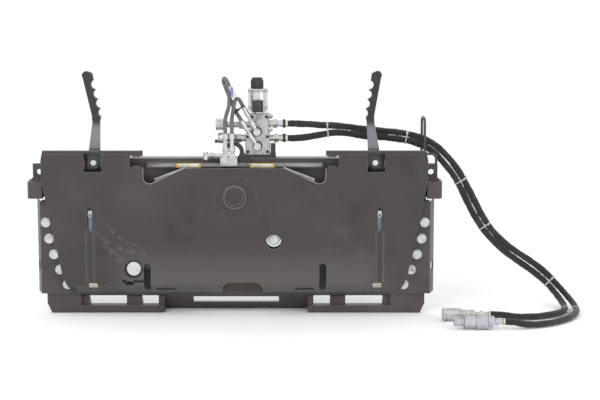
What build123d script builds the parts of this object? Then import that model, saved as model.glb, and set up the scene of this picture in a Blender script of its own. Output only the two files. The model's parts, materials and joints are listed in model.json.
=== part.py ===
from build123d import *
import math
import os

# Tilting quick-coupler adapter for a compact loader, seen from its attachment side.
# Row frame in mm: +X to the viewer's right, +Y from the tilt plate back to the loader, +Z up.
# The origin is on the ground, midway between the sides and between the front and the back.

# ---- driving dimensions -------------------------------------------------------------------
PIVOT_Z = 350.0              # height of the tilt axis
PLATE_FRONT = -60.0          # front face of the tilt plate
PLATE_BACK = -52.0
REAR_FRONT = 0.0             # front face of the rear plate
REAR_BACK = 12.0

EAR_TOP_Z = 487.0            # tilt plate outline
EAR_HALF = 551.0
SIDE_HALF = 557.0
SIDE_TOP_Z = 458.0
SIDE_LOW_Z = 404.0
SLANT_HALF = 501.0
SLANT_Z = 124.0
FOOT_HALF = 492.0
FOOT_Z = 100.0
LIP_HALF = 475.0
BEND_Z = 92.6                # where the plate's lower lip is bent back
LIP_DROP = 25.0
LIP_THICK = 8.0
CENTRE_TOP_Z = 435.5
POCKET_X = 244.0
POCKET_LOW_Z = 391.0
POCKET_R = 19.0
SLOPE_X = 144.0

LEVER_X = 405.0              # lever and lock
LEVER_Z = 451.5
LEVER_FRONT = -48.0
LEVER_BACK = -41.0
LEVER_SET_BACK = 8.0
ARM_TOP_Z = 571.0
RIGHT_LEAN = -2.2
LEFT_LEAN = 0.6
HUB_R = 16.0
LEVER_BOLT_R = 6.0
CRANK_R = 25.0
CRANK_START = 46.0
CRANK_PIN_R = 4.0
WEDGE_X = 412.5
WEDGE_WIDTH = 26.0
WEDGE_FRONT = -51.0
WEDGE_BACK = -41.0
WEDGE_TIP_Z = 84.0
WEDGE_TOP_Z = 256.0
EYE_X = 419.0
EYE_Z = 298.0

PIN_R = 30.0                 # tilt pivot
PIN_COLLAR_R = 52.0
BUSH_R = 40.0
BUSH_FLANGE_R = 50.0
BUSH_THICK = 14.0
RETAINER_R = 46.0
RUN = 0.05                   # radial running clearance

BOLT_CIRCLE_R = 557.0        # arc of keeper bolts about the tilt axis
BOLT_ANGLES = (-8.1, -13.1, -18.1, -23.1, -28.1)
KEEPER_INNER_R = 526.0
SPACER_INNER_R = 545.0
SLIDE_OUTER_R = 543.0
SLIDE_INNER_R = 505.0
SLIDE_WEB_R = 521.0
SHEET_FRONT = -18.0
SHEET_BACK = -12.0
SHEET_EDGE = 568.0
SHEET_TOP_Z = 334.0
SKIRT_TOP_Z = 58.0
BLOCK_INNER = 556.0
BLOCK_OUTER = 599.0
BLOCK_LOW_Z = 345.0
BLOCK_TOP_Z = 394.0
NECK_TOP_Z = 442.0

BASE_PIN = (-293.0, 142.0)   # tilt cylinder, X and Z of its two pins
ROD_PIN = (112.0, 226.0)
CYL_Y = -26.0
CYL_R = 23.0
CYL_PIN_R = 14.0
CYL_EYE_R = 26.0
CYL_EYE_HALF = 12.0
ROD_R = 11.0
ROD_EYE_GAP = 2.8            # the rod eye is bored larger than its pin
CYL_LENGTH = math.dist(BASE_PIN, ROD_PIN)
CYL_SLOPE = math.degrees(math.atan2(ROD_PIN[1] - BASE_PIN[1], ROD_PIN[0] - BASE_PIN[0]))

HOOK_TOP_Z = 458.0           # rear frame hook and flange
HOOK_LOW_Z = 447.0
HOOK_HALF = 540.0
HOOK_BACK = 62.0
FLANGE_HALF = 454.0
FLANGE_BACK = 66.0
WINDOWS = ((322.0, 432.0), (228.0, 277.0))
WINDOW_Z = (15.0, 50.0)
CENTRE_SLOT_HALF = 126.0
CENTRE_SLOT_Z = (24.0, 46.0)

EYE_HOLE_X = -4.0            # lifting eye
EYE_HOLE_Z = 477.0
EYE_HOLE_R = 18.0
EYE_Y = (-12.0, -2.0)

VALVE_Y = 25.0               # valve group
VALVE_X = 66.0
BLOCK_FOOT_Z = 468.0
BLOCK_STEP_Z = 528.0
VALVE_TOP_Z = 586.0
OUTLET_Z = (556.0, 514.0)
OUTLET_END_X = 150.0
COUPLER_Y = 14.0
TUBE_Y = -25.0
TUBE_X = (-27.0, -8.0)
TUBE_TOP_Z = 533.0
PILOT_D = 11.0

SLEEVE_D = 18.0              # sleeved hydraulic hoses
FEMALE_Z = 21.5
MALE_Z = 18.7
SLEEVE_UPPER = [
    (150, 25, 556), (200, 25, 556), (251, 25, 551), (307, 26, 550), (379, 26, 539), (453, 26, 533),
    (522, 26, 523), (579, 28, 499), (623, 33, 456), (668, 43, 396), (706, 57, 316), (743, 73, 249),
    (803, 91, 184), (866, 103, 142), (917, 103, 106), (956, 92, 66), (985, 70, 36), (1001, 30, 15),
    (1000, -27, 10), (982, -84, 10), (950, -135, 10), (907, -176, 10), (858, -202, 10),
    (820, -213, 13), (790, -216, 21.5), (760, -216, 21.5),
]
SLEEVE_LOWER = [
    (150, 25, 514), (200, 25, 514), (252, 25, 524), (305, 24, 531), (377, 24, 520), (451, 24, 514),
    (518, 24, 504), (569, 26, 482), (608, 31, 443), (651, 41, 385), (688, 55, 307), (729, 71, 236),
    (791, 89, 169), (856, 101, 125), (905, 101, 89), (941, 92, 54), (964, 60, 27), (972, 15, 12),
    (962, -28, 10), (936, -62, 10), (901, -87, 10), (862, -103, 10), (820, -109, 11),
    (787, -110, 14), (758, -110, 18.7), (730, -110, 18.7),
]


# ---- helpers ------------------------------------------------------------------------------
def box(x, y, z):
    """A block from three (low, high) pairs."""
    low = [min(x), min(y), min(z)]
    size = [abs(x[1] - x[0]), abs(y[1] - y[0]), abs(z[1] - z[0])]
    return Pos(*low) * Box(*size, align=(Align.MIN, Align.MIN, Align.MIN))


def slab(points, y_front, y_back):
    """A closed outline of (x, z) points, extruded from y_front to y_back."""
    face = Plane.XZ.offset(-y_back) * make_face(Polyline(*points, close=True))
    return extrude(face, amount=y_back - y_front)


def bar_x(points, x_low, x_high):
    """A closed profile of (y, z) points, extruded from x_low to x_high."""
    face = Plane.YZ.offset(x_low) * make_face(Polyline(*points, close=True))
    return extrude(face, amount=x_high - x_low)


def disc_y(x, z, radius, y_front, y_back):
    """A round bar along Y."""
    return Pos(x, (y_front + y_back) / 2, z) * Rot(90, 0, 0) * Cylinder(radius, y_back - y_front)


def disc_x(y, z, radius, x_low, x_high):
    """A round bar along X."""
    return Pos((x_low + x_high) / 2, y, z) * Rot(0, 90, 0) * Cylinder(radius, x_high - x_low)


def disc_z(x, y, radius, z_low, z_high):
    """A round bar along Z."""
    return Pos(x, y, (z_low + z_high) / 2) * Cylinder(radius, z_high - z_low)


def hex_x(y, z, radius, x_low, x_high):
    """A hexagon bar along X."""
    face = Plane.YZ.offset(x_low) * Pos(y, z) * RegularPolygon(radius, 6)
    return extrude(face, amount=x_high - x_low)


def hex_y(x, z, radius, y_front, y_back):
    """A hexagon bar along Y."""
    face = Plane.XZ.offset(-y_back) * Pos(x, z) * RegularPolygon(radius, 6)
    return extrude(face, amount=y_back - y_front)


def slot_y(x, z_low, z_high, width, y_front, y_back):
    """An upright slot with round ends, cut along Y."""
    height = z_high - z_low
    face = Plane.XZ.offset(-y_back) * Pos(x, (z_low + z_high) / 2) * SlotOverall(height, width, rotation=90)
    return extrude(face, amount=y_back - y_front)


def rod_between(start, end, radius):
    """A round bar from one point to another."""
    line = Line(start, end)
    return extrude(Plane(origin=start, z_dir=line % 0) * Circle(radius), amount=line.length)


def ring_sector(r_in, r_out, angle_low, angle_high, y_front, y_back):
    """A sector of a ring about the tilt axis; angles in degrees from +X, anticlockwise from the front."""
    sweep_angle = math.radians(angle_high - angle_low)
    steps = max(2, int((angle_high - angle_low) / 30) + 2)
    reach = r_out / math.cos(sweep_angle / (steps - 1) / 2) + 1
    fan = [(0.0, PIVOT_Z)]
    for i in range(steps):
        a = math.radians(angle_low) + sweep_angle * i / (steps - 1)
        fan.append((reach * math.cos(a), PIVOT_Z + reach * math.sin(a)))
    ring = disc_y(0, PIVOT_Z, r_out, y_front, y_back) - disc_y(0, PIVOT_Z, r_in, y_front, y_back)
    return ring & slab(fan, y_front, y_back)


def mirrored(shape):
    """The same shape on the other side of the X = 0 plane."""
    return mirror(shape, Plane.YZ)


def pair(shape):
    """A right-hand shape and its mirror image, as two separate solids."""
    return Compound([*shape.solids(), *mirrored(shape).solids()])


def corner_radii(points):
    """The largest even arc at each corner: 0.45 of its shorter run."""
    radii = []
    for before, here, after in zip(points, points[1:], points[2:]):
        run_in = Vector(*here) - Vector(*before)
        run_out = Vector(*after) - Vector(*here)
        turn = math.radians(run_in.get_angle(run_out))
        radii.append(0.45 * min(run_in.length, run_out.length) / math.tan(turn / 2))
    return radii


def hose(points, diameter, radii, name):
    """A round hose along straight runs joined by tangent arcs."""
    path = FilletPolyline(*points, radius=radii)
    start = Plane(origin=path @ 0, z_dir=path % 0)
    tube = sweep(start * Circle(diameter / 2), path)
    share = tube.volume / (math.pi * (diameter / 2) ** 2 * path.length)
    print(name, "length", round(path.length), "least radius", round(min(radii), 1), "volume share", round(share, 4))
    return tube


def save(name, shape):
    export_step(shape, f"parts/{name}.step")


# ---- tilt plate ---------------------------------------------------------------------------
def plate_outline():
    """The tilt plate's outline from the front, with the round-bottomed pockets beside the ears."""
    right = [(SLOPE_X, CENTRE_TOP_Z)]
    centre_z = POCKET_LOW_Z + POCKET_R
    for angle in range(245, 361, 15):
        a = math.radians(angle)
        right.append((POCKET_X + POCKET_R * math.cos(a), centre_z + POCKET_R * math.sin(a)))
    right += [
        (POCKET_X + POCKET_R, EAR_TOP_Z), (EAR_HALF, EAR_TOP_Z), (SIDE_HALF, SIDE_TOP_Z),
        (SIDE_HALF, SIDE_LOW_Z), (SLANT_HALF, SLANT_Z), (FOOT_HALF, FOOT_Z),
        (LIP_HALF, BEND_Z - LIP_DROP),
    ]
    return right + [(-x, z) for x, z in reversed(right)]


def coupler_plate():
    """The flat plate and its bent lower lip, with every opening."""
    drop_back = LIP_THICK * math.sqrt(0.5)
    lip_front_y = PLATE_FRONT + LIP_DROP
    lip_low_z = BEND_Z - LIP_DROP
    lip_back_y = lip_front_y + drop_back
    lip_back_z = lip_low_z + drop_back
    meet_z = lip_back_z + (lip_back_y - PLATE_BACK)
    profile = [
        (PLATE_FRONT, EAR_TOP_Z), (PLATE_FRONT, BEND_Z), (lip_front_y, lip_low_z),
        (lip_back_y, lip_back_z), (PLATE_BACK, meet_z), (PLATE_BACK, EAR_TOP_Z),
    ]
    plate = slab(plate_outline(), -70, -20) & bar_x(profile, -SIDE_HALF - 1, SIDE_HALF + 1)
    through = (PLATE_FRONT - 2, PLATE_BACK + 2)
    deep = (PLATE_FRONT - 2, lip_back_y + 2)
    for side in (1, -1):
        plate -= box((side * 382, side * 433), through, (425.5, 480.5))
        plate -= box((side * 263, side * 300), through, (438, 472))
        plate -= slot_y(side * EYE_X, 250, 320, 14, *through)
        plate -= slot_y(side * 254.5, 77, 157, 20, *deep)
        plate -= box((side * 399, side * 426), (PLATE_FRONT - 2, -40), (60, 99))
        plate -= box((side * 174, side * 229), (PLATE_FRONT - 2, -36), (77, 83))
        plate -= slot_y(side * EYE_X, 104, 248, 13, PLATE_FRONT - 2, PLATE_FRONT + 2)
    relief = Plane.XZ.offset(20) * Pos(21.0, 70.0) * RectangleRounded(117, 62, 24)
    plate -= extrude(relief, amount=50)
    plate -= disc_y(112, 221, 21.6, *through)
    plate -= disc_y(BASE_PIN[0] - 1, 141, 27, *through)
    plate -= disc_y(-321, 105, 5.5, *through)
    plate -= box((-321, -297), through, (99, 105))
    plate -= box((-320, -293), through, (94, 101.5))
    plate -= box((-294, -262), through, (100.6, 110.0))
    plate -= disc_y(0, PIVOT_Z, PIN_R, *through)
    return plate


def plate_welds():
    """Weld runs that stand proud of the plate: two beside each lock groove and one round the pivot."""
    beads = []
    for x in (409.0, 430.0):
        bead = disc_z(x, PLATE_FRONT, 3.5, 101, 250) & box((x - 5, x + 5), (-64, PLATE_FRONT), (90, 260))
        beads += bead.solids()
        beads += mirrored(bead).solids()
    ring = Pos(0, PLATE_FRONT, PIVOT_Z) * Rot(90, 0, 0) * Torus(31.5, 6.0)
    ring &= box((-50, 50), (-66, PLATE_FRONT), (PIVOT_Z - 50, PIVOT_Z + 50))
    ring -= disc_y(0, PIVOT_Z, PIN_R - 1, -70, -50)
    return Compound(beads + ring.solids())


def pivot_pin():
    """The tilt pin with its thrust collar; its front end is dished."""
    pin = disc_y(0, PIVOT_Z, PIN_R, PLATE_FRONT, REAR_FRONT + 4)
    pin += disc_y(0, PIVOT_Z, PIN_COLLAR_R, PLATE_BACK, -BUSH_THICK - 0.3)
    pin -= disc_y(0, PIVOT_Z, 22, PLATE_FRONT, PLATE_FRONT + 3)
    return pin


def pivot_retainer():
    """The disc that holds the pin from behind, sunk in the rear plate, with three screws."""
    disc = disc_y(0, PIVOT_Z, RETAINER_R, REAR_FRONT + 4, REAR_BACK - 0.2)
    solids = []
    for i in range(3):
        a = math.radians(90 + 120 * i)
        x, z = 18 * math.cos(a), PIVOT_Z + 18 * math.sin(a)
        disc -= disc_y(x, z, 6, REAR_FRONT + 4, REAR_BACK)
        screw = disc_y(x, z, 6, REAR_FRONT + 4, REAR_BACK - 1) - hex_y(x, z, 3, REAR_BACK - 4, REAR_BACK)
        solids += screw.solids()
    return Compound(disc.solids() + solids)


def slide_arcs():
    """Curved runners behind the plate; their outer edges run under the keeper sheets."""
    runner = ring_sector(SLIDE_INNER_R, SLIDE_OUTER_R, -20, 10, -11.7, -0.3)
    runner += ring_sector(SLIDE_INNER_R, SLIDE_WEB_R, -20, 10, PLATE_BACK, -11.7)
    return pair(runner)


def wedge_guides():
    """Channels welded behind the plate in which the wedges slide."""
    guide = box((WEDGE_X - 19.5, WEDGE_X + 19.5), (PLATE_BACK, -35), (104, 240))
    half = WEDGE_WIDTH / 2 + 0.5
    guide -= box((WEDGE_X - half, WEDGE_X + half), (PLATE_BACK, -40.5), (90, 250))
    return pair(guide)


def lever_brackets():
    """Brackets behind the ears that carry the lever bolts, and the rests for the folded levers."""
    bracket = box((376, 442), (-32, -26), (426, 480))
    bracket += box((436, 442), (PLATE_BACK, -26), (426, 480))
    bracket -= disc_y(LEVER_X, LEVER_Z, LEVER_BOLT_R, -40, -20)
    rest = box((268, 300), (PLATE_BACK, -38), (402, 417))
    return pair(Compound(bracket.solids() + rest.solids()))


def lever_bolts():
    """The two shouldered bolts on which the levers turn."""
    bolt = disc_y(LEVER_X, LEVER_Z, 8, -57, -52.4) + disc_y(LEVER_X, LEVER_Z, LEVER_BOLT_R, -52.4, -26)
    return pair(bolt)


def pin_carrier():
    """The strap behind the plate that carries the cylinder's base pin."""
    strap = box((BASE_PIN[0] - 28, BASE_PIN[0] + 28), (PLATE_BACK, -45), (BASE_PIN[1] - 40, BASE_PIN[1] + 40))
    return strap - disc_y(*BASE_PIN, CYL_PIN_R, PLATE_BACK, -45)


def base_pin():
    """The headed pin at the cylinder's base."""
    pin = disc_y(*BASE_PIN, CYL_PIN_R, PLATE_BACK, -6) + disc_y(*BASE_PIN, 20, PLATE_FRONT + 1, PLATE_BACK)
    return pin + disc_y(*BASE_PIN, 5, PLATE_FRONT - 1, PLATE_FRONT + 1)


# ---- levers and locks ---------------------------------------------------------------------
def lever_arm(lean):
    """The right lever: hub, crank and a flat arm with a set-back towards its grip."""
    arm = slab([(386, 451.5), (385, 487), (384, ARM_TOP_Z), (406, ARM_TOP_Z), (418, 487), (421, 451.5)], -50, -30)
    low, high = 515, 560
    back_front = LEVER_FRONT + LEVER_SET_BACK
    back_back = LEVER_BACK + LEVER_SET_BACK
    profile = [
        (LEVER_FRONT, 400), (LEVER_FRONT, low), (back_front, high), (back_front, 600),
        (back_back, 600), (back_back, high), (LEVER_BACK, low), (LEVER_BACK, 400),
    ]
    arm = arm & bar_x(profile, 370, 430)
    arm += disc_y(LEVER_X, LEVER_Z, 18, LEVER_FRONT, LEVER_BACK)
    arm = Pos(LEVER_X, 0, LEVER_Z) * Rot(0, lean, 0) * Pos(-LEVER_X, 0, -LEVER_Z) * arm
    a = math.radians(CRANK_START)
    pin_x = LEVER_X - CRANK_R * math.cos(a)
    pin_z = LEVER_Z + CRANK_R * math.sin(a)
    arm += disc_y(pin_x, pin_z, 8.5, LEVER_FRONT, LEVER_BACK)
    arm += disc_y(pin_x, pin_z, CRANK_PIN_R, LEVER_BACK, -34.4)
    arm += disc_y(LEVER_X, LEVER_Z, HUB_R, -52, -40.6)
    return arm - disc_y(LEVER_X, LEVER_Z, LEVER_BOLT_R + RUN, -60, -30)


def lever_grip(lean):
    """The right lever's moulded grip, with four finger waves on its inner edge."""
    top = (421.0, 702.4)
    outline = [(384, ARM_TOP_Z), (381, 590), (404, 706), (412, 711), (424, 710), (431, 703), (406, 586), (406, ARM_TOP_Z)]
    grip = slab(outline, -50, -23) + disc_y(*top, 10.7, -50, -23)
    for i in range(4):
        share = (i + 0.5) / 4
        grip -= disc_y(372.5 + 25 * share, 580 + 108 * share, 13.5, -60, -10)
    grip = Pos(LEVER_X, 0, LEVER_Z) * Rot(0, lean, 0) * Pos(-LEVER_X, 0, -LEVER_Z) * grip
    return grip.solids().sort_by(SortBy.VOLUME)[-1]


def wedge():
    """The right locking wedge: a flat bar with a bevelled tip and a narrow tab for the link."""
    half = WEDGE_WIDTH / 2
    tip = [(WEDGE_FRONT, WEDGE_TOP_Z), (WEDGE_FRONT, WEDGE_TIP_Z + 9), (WEDGE_FRONT + 5, WEDGE_TIP_Z),
           (WEDGE_BACK, WEDGE_TIP_Z), (WEDGE_BACK, WEDGE_TOP_Z)]
    bar = bar_x(tip, WEDGE_X - half, WEDGE_X + half)
    bar += box((EYE_X - 6, EYE_X + 6), (-45.3, WEDGE_BACK), (WEDGE_TOP_Z, EYE_Z + 6))
    bar += disc_y(EYE_X, EYE_Z, CRANK_PIN_R, -51.4, WEDGE_BACK)
    return bar


def link():
    """The right link: an eye on the wedge's pin, a slanting rod and a slotted yoke on the crank pin."""
    eye = disc_y(EYE_X, EYE_Z, 6.5, -50.6, -45.5)
    eye += slab([(EYE_X - 6.4, EYE_Z), (EYE_X + 6.4, EYE_Z), (EYE_X + 5, 316), (EYE_X - 5, 316)], -50.6, -45.5)
    eye += box((EYE_X - 5, EYE_X + 5), (-50.6, -39), (307, 316))
    eye -= disc_y(EYE_X, EYE_Z, CRANK_PIN_R, -60, -40)
    a = math.radians(CRANK_START)
    pin_x = LEVER_X - CRANK_R * math.cos(a)
    pin_z = LEVER_Z + CRANK_R * math.sin(a)
    eye += rod_between((EYE_X, -42.5, 312), (pin_x, -42.5, 426), 4.5)
    yoke = box((pin_x - 18, pin_x + 11), (-40, -35.2), (419, pin_z + 11))
    slot_low = LEVER_X - CRANK_R - CRANK_PIN_R - 0.8
    slot_high = pin_x + CRANK_PIN_R + 0.8
    yoke -= box((slot_low, slot_high), (-45, -30), (pin_z - CRANK_PIN_R - 1, pin_z + CRANK_PIN_R + 1))
    return eye + yoke


def link_spring():
    """The sleeve-shaped envelope of the spring on the right link's rod."""
    a = math.radians(CRANK_START)
    pin_x = LEVER_X - CRANK_R * math.cos(a)
    start, end = Vector(EYE_X, -42.5, 312), Vector(pin_x, -42.5, 426)
    low = start + (end - start) * 0.08
    high = start + (end - start) * 0.78
    return rod_between(low, high, 8.6) - rod_between(start, end, 4.6)


# ---- tilt cylinder, laid along +X and then set on its two pins ----------------------------
def on_cylinder(shape):
    return Pos(BASE_PIN[0], CYL_Y, BASE_PIN[1]) * Rot(0, -CYL_SLOPE, 0) * shape


def cylinder_barrel():
    tube = disc_x(0, 0, CYL_R, 36, 250) + disc_x(0, 0, 16, 15, 38)
    tube += disc_y(0, 0, CYL_EYE_R, -CYL_EYE_HALF, CYL_EYE_HALF)
    tube -= disc_x(0, 0, 18, 44, 260)
    tube -= disc_y(0, 0, CYL_PIN_R + RUN, -20, 20)
    for x in (60, 232):
        tube += disc_z(x, 0, 8, CYL_R - 3, CYL_R + 11) - disc_x(0, 0, 20, 0, 300)
    return on_cylinder(tube)


def cylinder_gland():
    ring = disc_x(0, 0, 22, 250, 268) + disc_x(0, 0, 18, 236, 250)
    return on_cylinder(ring - disc_x(0, 0, ROD_R + RUN, 230, 275))


def cylinder_rod():
    rod = disc_x(0, 0, ROD_R, 140, CYL_LENGTH - 20) + disc_x(0, 0, 18 - RUN, 140, 162)
    rod += Pos(CYL_LENGTH, 0, 0) * disc_y(0, 0, CYL_EYE_R, -CYL_EYE_HALF, CYL_EYE_HALF)
    rod -= Pos(CYL_LENGTH, 0, 0) * disc_y(0, 0, CYL_PIN_R + ROD_EYE_GAP, -20, 20)
    return on_cylinder(rod)


def rod_pin():
    """The shouldered pin on the rear plate that the rod eye hangs on, with its bolt head."""
    pin = disc_y(*ROD_PIN, CYL_PIN_R, -39, REAR_FRONT) + disc_y(*ROD_PIN, 19, -41, -39)
    return pin + hex_y(*ROD_PIN, 15, -47, -41)


# ---- rear frame ---------------------------------------------------------------------------
def rear_plate():
    outline = [
        (HOOK_HALF, HOOK_LOW_Z), (BLOCK_INNER, HOOK_LOW_Z - 30), (BLOCK_INNER, SHEET_TOP_Z),
        (566, SHEET_TOP_Z), (566, SKIRT_TOP_Z),
    ]
    plate = slab(outline + [(-x, z) for x, z in reversed(outline)], REAR_FRONT, REAR_BACK)
    plate -= disc_y(0, PIVOT_Z, BUSH_R, REAR_FRONT, REAR_FRONT + 4)
    return plate - disc_y(0, PIVOT_Z, RETAINER_R + 0.5, REAR_FRONT + 4, REAR_BACK)


def pivot_bush():
    bush = disc_y(0, PIVOT_Z, BUSH_FLANGE_R, -BUSH_THICK, REAR_FRONT) + disc_y(0, PIVOT_Z, BUSH_R, REAR_FRONT, 3.8)
    return bush - disc_y(0, PIVOT_Z, PIN_R + RUN, -20, 10)


def top_hook():
    """The bent lip along the top that hangs on the loader's plate, and the square bar before it."""
    profile = [(REAR_FRONT, HOOK_LOW_Z), (REAR_FRONT, HOOK_TOP_Z), (40, HOOK_TOP_Z), (HOOK_BACK, HOOK_TOP_Z - 22),
               (HOOK_BACK - 8, HOOK_TOP_Z - 30), (35, HOOK_LOW_Z)]
    bar = box((-258, 258), (-14, REAR_FRONT), (430, HOOK_LOW_Z - 1))
    return Compound(bar_x(profile, -HOOK_HALF, HOOK_HALF).solids() + bar.solids())


def bottom_flange():
    """The sloping flange under the rear plate, with windows for the loader's wedges."""
    profile = [(REAR_FRONT, SKIRT_TOP_Z), (REAR_BACK, SKIRT_TOP_Z), (FLANGE_BACK, 4), (62, 0), (53, 0), (REAR_FRONT, 53)]
    flange = bar_x(profile, -FLANGE_HALF, FLANGE_HALF)
    for low, high in WINDOWS:
        flange -= box((low, high), (-10, 80), WINDOW_Z)
        flange -= box((-high, -low), (-10, 80), WINDOW_Z)
    return flange - box((-CENTRE_SLOT_HALF, CENTRE_SLOT_HALF), (-10, 80), CENTRE_SLOT_Z)


def skid_bars():
    """The bars the frame stands on, each with the gussets that carry the flange."""
    skid = box((211, 535), (-6, 6), (0, 22))
    for low, high in ((211, 228), (277, 322), (432, 454)):
        skid += bar_x([(6, 0), (53, 0), (6, 47)], low, high)
    skid -= box((454, 540), (-10, 10), (-1, 30))
    return pair(skid)


def end_plates():
    """The plates that close the two ends of the flange, with their outer corners cut off."""
    outline = [(454, 0), (541, 0), (554, 29), (554, SKIRT_TOP_Z), (454, SKIRT_TOP_Z)]
    plate = slab(outline, -6, 6)
    plate += box((454, 462), (6, 53), (0, 30))
    return pair(plate)


def side_sheet():
    """The right keeper sheet, with its side flange bent back and a round hole through it."""
    sheet = box((400, SHEET_EDGE), (SHEET_FRONT, SHEET_BACK), (SKIRT_TOP_Z + 2, SHEET_TOP_Z))
    sheet -= disc_y(0, PIVOT_Z, KEEPER_INNER_R, -30, 0)
    edge = [(SHEET_EDGE, SHEET_FRONT), (582, 27), (577, 28.5), (SHEET_EDGE, SHEET_BACK)]
    flange = extrude(Pos(0, 0, SKIRT_TOP_Z + 2) * make_face(Polyline(*edge, close=True)),
                     amount=SHEET_TOP_Z - SKIRT_TOP_Z - 2)
    flange -= disc_x(8, 140, 16, 560, 590)
    sheet += flange
    for angle in BOLT_ANGLES:
        sheet -= bolt_at(angle, 6.5, -30, 0)
    return sheet


def bolt_at(angle, radius, y_front, y_back):
    """A round bar on the keeper bolt circle."""
    a = math.radians(angle)
    return disc_y(BOLT_CIRCLE_R * math.cos(a), PIVOT_Z + BOLT_CIRCLE_R * math.sin(a), radius, y_front, y_back)


def arc_spacers():
    """The curved strips between the keeper sheets and the rear plate."""
    strip = ring_sector(SPACER_INNER_R, 568, -30.5, -4, SHEET_BACK, REAR_FRONT)
    strip = strip & box((400, 566), (-20, 10), (SKIRT_TOP_Z + 2, SHEET_TOP_Z))
    for angle in BOLT_ANGLES:
        strip -= bolt_at(angle, 6.5, -30, 10)
    return pair(strip)


def keeper_bolts():
    """Round-headed bolts with washers through the keeper sheets and their spacers."""
    solids = []
    for angle in BOLT_ANGLES:
        bolt = bolt_at(angle, 12.5, -26, -20) + bolt_at(angle, 14.5, -20, SHEET_FRONT)
        bolt += bolt_at(angle, 6.4, SHEET_FRONT, REAR_FRONT)
        solids += bolt.solids()
        solids += mirrored(bolt).solids()
    return Compound(solids)


def side_blocks():
    """Thrust blocks at the ends of the arcs, each under a drilled neck."""
    block = box((BLOCK_INNER, BLOCK_OUTER), (-45, 20), (BLOCK_LOW_Z, BLOCK_TOP_Z))
    block = chamfer(block.edges().filter_by(Axis.Z).sort_by(Axis.X)[-2:], 7)
    shoulder = slab([(558, BLOCK_TOP_Z), (597, BLOCK_TOP_Z), (588, 402), (560, 402)], -12, 8)
    neck = box((560, 588), (-4, 6), (402, NECK_TOP_Z)) - disc_y(569, 418, 8, -10, 10)
    return pair(block + shoulder + neck)


def hose_guide():
    """The bent round bar on the right neck that the hoses run through."""
    points = [(584, 1, NECK_TOP_Z), (584, 1, 470), (551, 3, 470), (550, 4, 573), (545, 50, 573), (545, 50, 474)]
    return hose(points, 7.5, [11, 9, 14, 14], "hose_guide")


def lifting_eye():
    """The ring plate that stands on the square bar, with a foot that flares to the right."""
    foot = [(-33, HOOK_LOW_Z - 1), (46, HOOK_LOW_Z - 1), (28, EYE_HOLE_Z - 6), (26, EYE_HOLE_Z), (-34, EYE_HOLE_Z)]
    plate = slab(foot, *EYE_Y) + disc_y(EYE_HOLE_X, EYE_HOLE_Z, 30, *EYE_Y)
    return plate - disc_y(EYE_HOLE_X, EYE_HOLE_Z, EYE_HOLE_R, *EYE_Y)


# ---- valve group --------------------------------------------------------------------------
def valve_bracket():
    base = box((28, 118), (0, 52), (HOOK_TOP_Z, BLOCK_FOOT_Z))
    return base + box((103, 117), (10, 42), (BLOCK_FOOT_Z, 498))


def valve_block():
    """The diverter's body, stepped below its solenoid."""
    block = box((30, 101), (2, 50), (BLOCK_FOOT_Z, BLOCK_STEP_Z))
    block = chamfer(block.edges().filter_by(Axis.Z), 2.5)
    upper = box((43, 98), (2, 48), (BLOCK_STEP_Z, VALVE_TOP_Z))
    return block + chamfer(upper.edges().filter_by(Axis.Z), 3)


def solenoid_coil():
    coil = disc_z(VALVE_X, VALVE_Y, 28.5, 592, 659)
    coil = chamfer(coil.edges(), 3)
    return coil + disc_z(VALVE_X, VALVE_Y, 15, VALVE_TOP_Z, 592)


def coil_nut():
    nut = disc_z(VALVE_X - 2, VALVE_Y, 18.5, 659, 690)
    return chamfer(nut.edges().group_by(Axis.Z)[-1], 3)


def coil_connector():
    plug = box((52, 82), (-24, VALVE_Y), (594, 627))
    return plug - disc_z(VALVE_X, VALVE_Y, 28.5, 580, 670)


def port_plugs():
    """Blanking plugs in the block's unused ports."""
    solids = []
    for y, z in ((38, 576), (11, 541)):
        solids += (disc_x(y, z, 8, 98, 103) + hex_x(y, z, 6, 103, 109)).solids()
    return Compound(solids)


def outlet_fittings():
    """The two straight fittings that the sleeved hoses leave from."""
    solids = []
    for z, x in zip(OUTLET_Z, (98, 101)):
        body = disc_x(VALVE_Y, z, 9, x, OUTLET_END_X) + hex_x(VALVE_Y, z, 14, x + 12, x + 24)
        solids += (body + disc_x(VALVE_Y, z, 10.5, 134, OUTLET_END_X)).solids()
    return Compound(solids)


def pilot_fittings():
    """Two banjo fittings on the block's front, each with a straight stem that slants up to the left."""
    solids = []
    for port, end in (((64, 535), (26, 606)), ((65, 493), (19, 568))):
        body = disc_y(*port, 11, -18, 2) + hex_y(*port, 9, -23, -18)
        body += rod_between((port[0], -9, port[1]), (end[0], -9, end[1]), 5.2)
        low = Vector(port[0], -9, port[1])
        high = Vector(end[0], -9, end[1])
        body += rod_between(low + (high - low) * 0.28, low + (high - low) * 0.5, 8)
        body += rod_between(low + (high - low) * 0.66, high, 7)
        solids += body.solids()
    return Compound(solids)


def pilot_hose_outer():
    """The hose from the lower banjo, looped over to the left steel tube."""
    points = [(19, -9, 568), (-0.3, -9, 599.5), (-18, -8, 644), (-33, -8, 682), (-27, -34, 700),
              (-13, -40, 668), (-15, -36, 615), (-27, TUBE_Y, 575), (TUBE_X[0], TUBE_Y, TUBE_TOP_Z)]
    return hose(points, PILOT_D, [50, 50, 15, 15, 28, 45, 45], "pilot_hose_outer")


def pilot_hose_inner():
    """The hose from the upper banjo, bent behind to the right steel tube."""
    points = [(26, -9, 606), (15.6, -9, 625.4), (5, -22, 641), (-1, -34, 616), (-8, TUBE_Y, 575),
              (TUBE_X[1], TUBE_Y, TUBE_TOP_Z)]
    return hose(points, PILOT_D, [12, 14, 25, 45], "pilot_hose_inner")


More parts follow.
